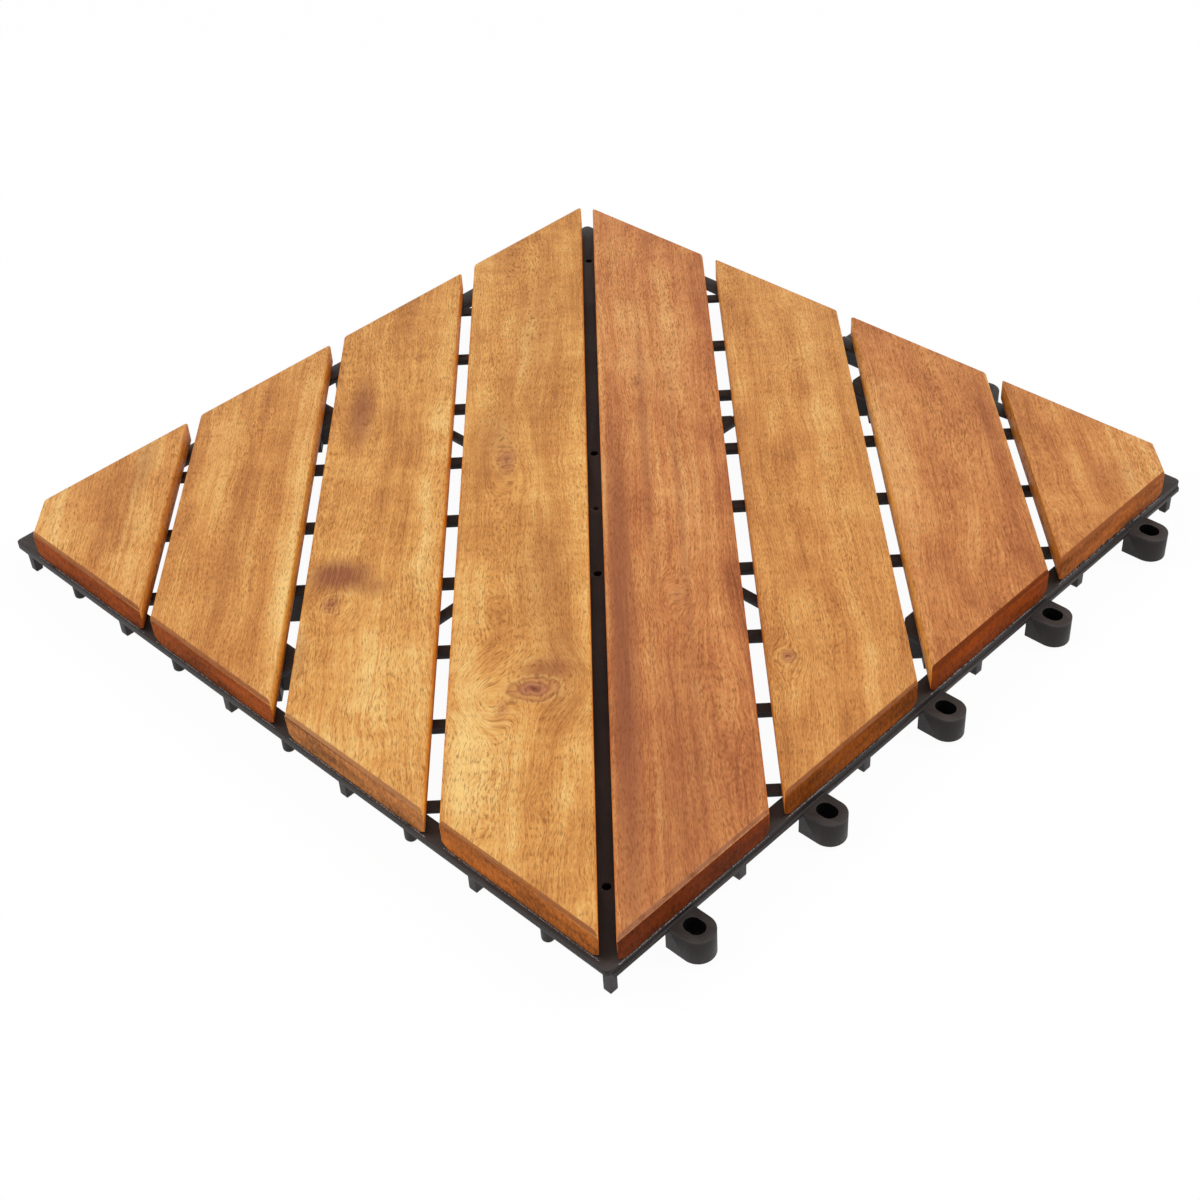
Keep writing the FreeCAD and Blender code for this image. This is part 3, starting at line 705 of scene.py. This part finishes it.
def spin(shape, profile, centre, steps):
    """Turn an outline of radius and height pairs round the upright through centre.

    A radius may be a function of the angle.
    """
    rings = []
    for radius, height in profile:
        if radius == 0:
            rings.append([shape.verts.new(centre + Vector((0, 0, height)))])
            continue
        ring = []
        for i in range(steps):
            angle = 2 * math.pi * i / steps
            out = radius(angle) if callable(radius) else radius
            ring.append(shape.verts.new(centre + Vector((out * math.cos(angle),
                                                         out * math.sin(angle), height))))
        rings.append(ring)
    for low, high in zip(rings, rings[1:]):
        for i in range(steps):
            j = (i + 1) % steps
            corners = [low[i % len(low)], low[j % len(low)],
                       high[j % len(high)], high[i % len(high)]]
            unique = list(dict.fromkeys(corners))
            if len(unique) > 2:
                shape.faces.new(unique)


def cross_outline(arm, half_width, twist, scale):
    """Function that gives the radius of a cross recess at an angle.

    The angle is first taken from the middle of the nearest arm. The outline then follows the
    arm's end or its side, whichever is nearer.
    """
    least_sine = 0.001

    def radius(angle):
        off = (angle - twist + math.pi / 4) % (math.pi / 2) - math.pi / 4
        return scale * min(arm / math.cos(off), half_width / max(abs(math.sin(off)), least_sine))
    return radius


# A pan head from its face to its rim, as shares of its radius and height
PAN_HEAD = [(0.80, 0.03), (0.93, 0.22), (1.0, 0.60)]


def pan_head_screws():
    """Pan-head screws with a cross recess, each on its solid's own axis.

    Each stopped at a turn of its own when it was driven in.
    """
    arm_mm, half_width_mm, depth_mm, narrowing = 2.0, 0.52, 1.1, 0.5
    steps, crisp_degrees, near = 40, 40, 0.1 * MM
    chance = random.Random(11)
    shape = bmesh.new()
    for group in islands(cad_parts["slat_screws"].data):
        low = min(co.z for co in group)
        high = max(co.z for co in group)
        head = [co for co in group if co.z < low + near]
        centre = sum(head, Vector()) / len(head)
        centre.z = 0
        reach = max((co - centre).xy.length for co in head)
        seat = min(co.z for co in group if co.z > low + near)
        shank = min((co - centre).xy.length for co in group if abs(co.z - seat) < near)
        deep = seat - low
        twist = 2 * math.pi / steps * chance.randrange(steps // 4)
        mouth = cross_outline(arm_mm * MM, half_width_mm * MM, twist, 1.0)
        floor = cross_outline(arm_mm * MM, half_width_mm * MM, twist, narrowing)
        outline = [(0, low + depth_mm * MM), (floor, low + 0.9 * depth_mm * MM), (mouth, low)]
        outline += [(reach * out, low + up * deep) for out, up in PAN_HEAD]
        outline += [(reach, seat), (shank, seat), (shank, high - 1.5 * shank), (0, high)]
        spin(shape, outline, centre, steps)
    mesh = finished_mesh(shape, "pan_head_screws")
    shade_smooth(mesh, crisp_degrees)
    return mesh


def mould_flash(seed, height_mm, thickness_mm, tooth_mm):
    """Ragged film of plastic that stands on the rim along the slats' front ends.

    It stands tallest along the last slat.
    """
    share_elsewhere = 0.35
    chance = random.Random(seed)
    shape = bmesh.new()
    for name in SLATS:
        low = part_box(name)[0]
        for side in (0, 1):
            if low[side] > -TILE_HALF + LIP_MM * MM:
                continue
            wall = Vector((0, 0, 0))
            wall[side] = low[side]
            run = 1 - side
            spot, stop = ends_of_face(name, side, low[side])
            while spot < stop - tooth_mm * MM:
                wide = tooth_mm * MM * chance.uniform(0.5, 1.8)
                share = 1.0 if name == SLATS[-1] else share_elsewhere
                tall = (height_mm * share * MM * chance.uniform(0.25, 1.0)
                        * chance.choice((0.3, 1.0, 1.0)))
                corners = []
                for along, level in ((0, 0), (wide, 0), (wide * chance.uniform(0.6, 0.95), tall),
                                     (wide * chance.uniform(0.1, 0.4), tall * 0.8)):
                    place = wall.copy()
                    place[run] = spot + along
                    place.z = GRID_TOP + level
                    corners.append(place)
                back = [shape.verts.new(c) for c in corners]
                out = Vector((0, 0, 0))
                out[side] = -thickness_mm * MM
                front = [shape.verts.new(c + out * (1 if i < 2 else 0.5))
                         for i, c in enumerate(corners)]
                shape.faces.new(front)
                shape.faces.new(back[::-1])
                for i in range(4):
                    j = (i + 1) % 4
                    shape.faces.new((front[i], back[i], back[j], front[j]))
                spot += wide * chance.uniform(0.9, 1.3)
    return finished_mesh(shape, "mould_flash")


def ends_of_face(name, side, level):
    """Where the lower edge of a slat's end face starts and stops."""
    near_mm, edge_mm = 0.3, 2.2
    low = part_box(name)[0].z
    spots = [v.co[1 - side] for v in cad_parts[name].data.vertices
             if abs(v.co[side] - level) < near_mm * MM and v.co.z < low + edge_mm * MM]
    return min(spots), max(spots)


# Studio

def seen_directly(tree):
    """1 for what the camera, a reflection or a clear piece sees, and 0 for the light given."""
    path = node(tree, "ShaderNodeLightPath")
    seen = node(tree, "ShaderNodeMath", {0: path.outputs["Is Camera Ray"],
                                         1: path.outputs["Is Glossy Ray"]},
                operation="MAXIMUM").outputs[0]
    return node(tree, "ShaderNodeMath", {0: seen, 1: path.outputs["Is Transmission Ray"]},
                operation="MAXIMUM").outputs[0]


def lay_floor(paper):
    """Pale paper: white to the camera, where it keeps a faint shadow of the tile."""
    size, shadow_share = 6.0, 0.04
    material = bpy.data.materials.new("matt_white_paper")
    material.use_nodes = True
    tree = material.node_tree
    tree.nodes.clear()
    diffuse = node(tree, "ShaderNodeBsdfDiffuse", {"Color": list(paper) + [1.0]}).outputs[0]
    glow = node(tree, "ShaderNodeEmission", {"Color": (1, 1, 1, 1), "Strength": 1.0}).outputs[0]
    white = node(tree, "ShaderNodeMath", {0: seen_directly(tree), 1: 1 - shadow_share},
                 operation="MULTIPLY").outputs[0]
    mixed = node(tree, "ShaderNodeMixShader", {0: white, 1: diffuse, 2: glow}).outputs[0]
    node(tree, "ShaderNodeOutputMaterial", {0: mixed})
    shape = bmesh.new()
    bmesh.ops.create_grid(shape, x_segments=1, y_segments=1, size=size / 2)
    mesh = bpy.data.meshes.new("floor")
    shape.to_mesh(mesh)
    shape.free()
    mesh.materials.append(material)
    floor = bpy.data.objects.new("floor", mesh)
    bpy.context.scene.collection.objects.link(floor)


def light_world(strength):
    """Even light from all round, which the camera and reflections see as white."""
    world = bpy.data.worlds.new("studio")
    world.use_nodes = True
    bpy.context.scene.world = world
    tree = world.node_tree
    tree.nodes.clear()
    level = node(tree, "ShaderNodeMapRange", {0: seen_directly(tree), 3: strength,
                                              4: 1.0}).outputs[0]
    light = node(tree, "ShaderNodeBackground", {"Color": (1, 1, 1, 1),
                                                "Strength": level}).outputs[0]
    node(tree, "ShaderNodeOutputWorld", {0: light})


def hang_soft_boxes(power):
    """Two large soft boxes, one each side of the slats, which light their side faces too."""
    height, aside, forward, size = 1.5, 1.3, 0.25, 1.1
    for name, side in (("left", 1), ("right", -1)):
        lamp = bpy.data.lights.new(f"soft_box_{name}", "AREA")
        lamp.shape = "RECTANGLE"
        lamp.size, lamp.size_y = size, size
        lamp.energy = power
        box = bpy.data.objects.new(f"soft_box_{name}", lamp)
        bpy.context.scene.collection.objects.link(box)
        box.location = ACROSS * side * aside - ALONG * forward + Vector((0, 0, height))
        box.rotation_mode = "QUATERNION"
        box.rotation_quaternion = box.location.to_track_quat("Z", "Y")


def set_camera():
    """Camera at the photograph's place, above the corner where the slats' front ends meet."""
    sensor_mm, lens_mm = 36.0, 56.95
    place_mm = (-379.6, -397.2, 430.2)
    pitch, roll, heading = 50.08, 2.93, -46.08
    camera = bpy.data.cameras.new("camera")
    camera.sensor_width = sensor_mm
    camera.lens = lens_mm
    camera.clip_start = 0.01
    stand = bpy.data.objects.new("camera", camera)
    bpy.context.scene.collection.objects.link(stand)
    stand.location = Vector(place_mm) * MM
    stand.rotation_euler = [math.radians(angle) for angle in (pitch, roll, heading)]
    bpy.context.scene.camera = stand


# Sizes and colours that can be changed

class SlatLook(bpy.types.PropertyGroup):
    edge: bpy.props.FloatProperty(name="Edge easing", description="Rounding of the sawn edges",
                                  default=0.35 * MM, min=0.0, unit="LENGTH", subtype="DISTANCE")
    arris: bpy.props.FloatProperty(name="Long arris",
                                   description="Share of each board's own rounding of long edges",
                                   default=1.0, min=0.0)


class GridLook(bpy.types.PropertyGroup):
    edge: bpy.props.FloatProperty(name="Edge rounding",
                                  description="Rounding of the moulded edges",
                                  default=0.34 * MM, min=0.0, unit="LENGTH", subtype="DISTANCE")
    toe: bpy.props.FloatProperty(name="Toe rounding", description="Rounding of the legs' ends",
                                 default=1.2 * MM, min=0.0, unit="LENGTH", subtype="DISTANCE")
    flash: bpy.props.FloatProperty(name="Flash height",
                                   description="Height of the ragged film on the rim, in mm",
                                   default=1.7, min=0.0)


class StudioLook(bpy.types.PropertyGroup):
    sky: bpy.props.FloatProperty(name="Sky strength", description="Even light from all round",
                                 default=0.46, min=0.0)
    soft_box: bpy.props.FloatProperty(name="Soft box power", description="Power of each soft box",
                                      default=16.0, min=0.0, unit="POWER")
    paper: bpy.props.FloatVectorProperty(name="Paper", description="Colour of the floor",
                                         default=linear("#F7F7F7")[:3], subtype="COLOR")


# Operators

class TILE_OT_slats(bpy.types.Operator):
    """Ease the edges of the slats and give each board its own wood"""
    bl_idname = "tile.slats"
    bl_label = "Slats"

    def execute(self, context):
        look = context.scene.tile_slats
        for name in SLATS:
            arris = look.arris * BOARDS[name].round_mm * MM
            mesh = eased_mesh(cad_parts[name], f"{name}_board", look.edge, arris,
                              is_long_arris)
            add_piece(f"{name}_board", mesh, oiled_acacia(name, BOARDS[name]), [name])
        return {"FINISHED"}


class TILE_OT_grid(bpy.types.Operator):
    """Round the edges of the moulded grid, paint shade into its holes and vents, and add the
    flash left on its rim
    """
    bl_idname = "tile.grid"
    bl_label = "Moulded grid"

    def execute(self, context):
        look = context.scene.tile_grid
        plastic = moulded_polypropylene()
        painted_shade = painted_shade_polypropylene()
        mesh = eased_mesh(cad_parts["base_grid"], "grid_moulding", look.edge, look.toe,
                          is_toe, shorten_loops)
        add_piece("grid_moulding", mesh, plastic, ["base_grid"])
        # Painted shade on the walls of the loops' holes and on the vents' floors
        mesh.materials.append(painted_shade)
        shade_holes(mesh)
        add_piece("vent_shade_floors", vent_shade_floors(), painted_shade, [])
        flash = mould_flash(seed=4, height_mm=look.flash, thickness_mm=0.4, tooth_mm=0.8)
        add_piece("mould_flash", flash, plastic, [])
        return {"FINISHED"}


class TILE_OT_screws(bpy.types.Operator):
    """Turn the screws' heads and cut their cross recesses"""
    bl_idname = "tile.screws"
    bl_label = "Screws"

    def execute(self, context):
        add_piece("pan_head_screws", pan_head_screws(), zinc_plated_steel(),
                  ["slat_screws"])
        return {"FINISHED"}


class TILE_OT_studio(bpy.types.Operator):
    """Lay the floor, hang the lamps and set up the camera"""
    bl_idname = "tile.studio"
    bl_label = "Studio"

    def execute(self, context):
        look = context.scene.tile_studio
        lay_floor(look.paper)
        light_world(look.sky)
        hang_soft_boxes(look.soft_box)
        set_camera()
        context.scene.view_settings.view_transform = "Standard"
        return {"FINISHED"}


class TILE_PT_panel(bpy.types.Panel):
    """The tile's sizes and colours, with a button for each group of pieces"""
    bl_idname = "TILE_PT_panel"
    bl_label = "Deck tile"
    bl_space_type = "VIEW_3D"
    bl_region_type = "UI"
    bl_category = "Deck tile"

    def draw(self, context):
        for group, operator in (("tile_slats", "tile.slats"), ("tile_grid", "tile.grid"),
                                (None, "tile.screws"), ("tile_studio", "tile.studio")):
            box = self.layout.box()
            if group:
                look = getattr(context.scene, group)
                for name in look.bl_rna.properties.keys():
                    if name not in ("rna_type", "name"):
                        box.prop(look, name)
            box.operator(operator)


CLASSES = [SlatLook, GridLook, StudioLook, TILE_OT_slats, TILE_OT_grid, TILE_OT_screws,
           TILE_OT_studio, TILE_PT_panel]
GROUPS = {"tile_slats": SlatLook, "tile_grid": GridLook, "tile_studio": StudioLook}


def register():
    for cls in CLASSES:
        bpy.utils.register_class(cls)
    for name, group in GROUPS.items():
        setattr(bpy.types.Scene, name, bpy.props.PointerProperty(type=group))


def unregister():
    for name in GROUPS:
        delattr(bpy.types.Scene, name)
    for cls in reversed(CLASSES):
        bpy.utils.unregister_class(cls)


def main():
    """Make the stage and the pieces."""
    register()
    bpy.ops.tile.studio()
    bpy.ops.tile.slats()
    bpy.ops.tile.grid()
    bpy.ops.tile.screws()
    bpy.context.view_layer.update()


if __name__ == "__main__":
    main()
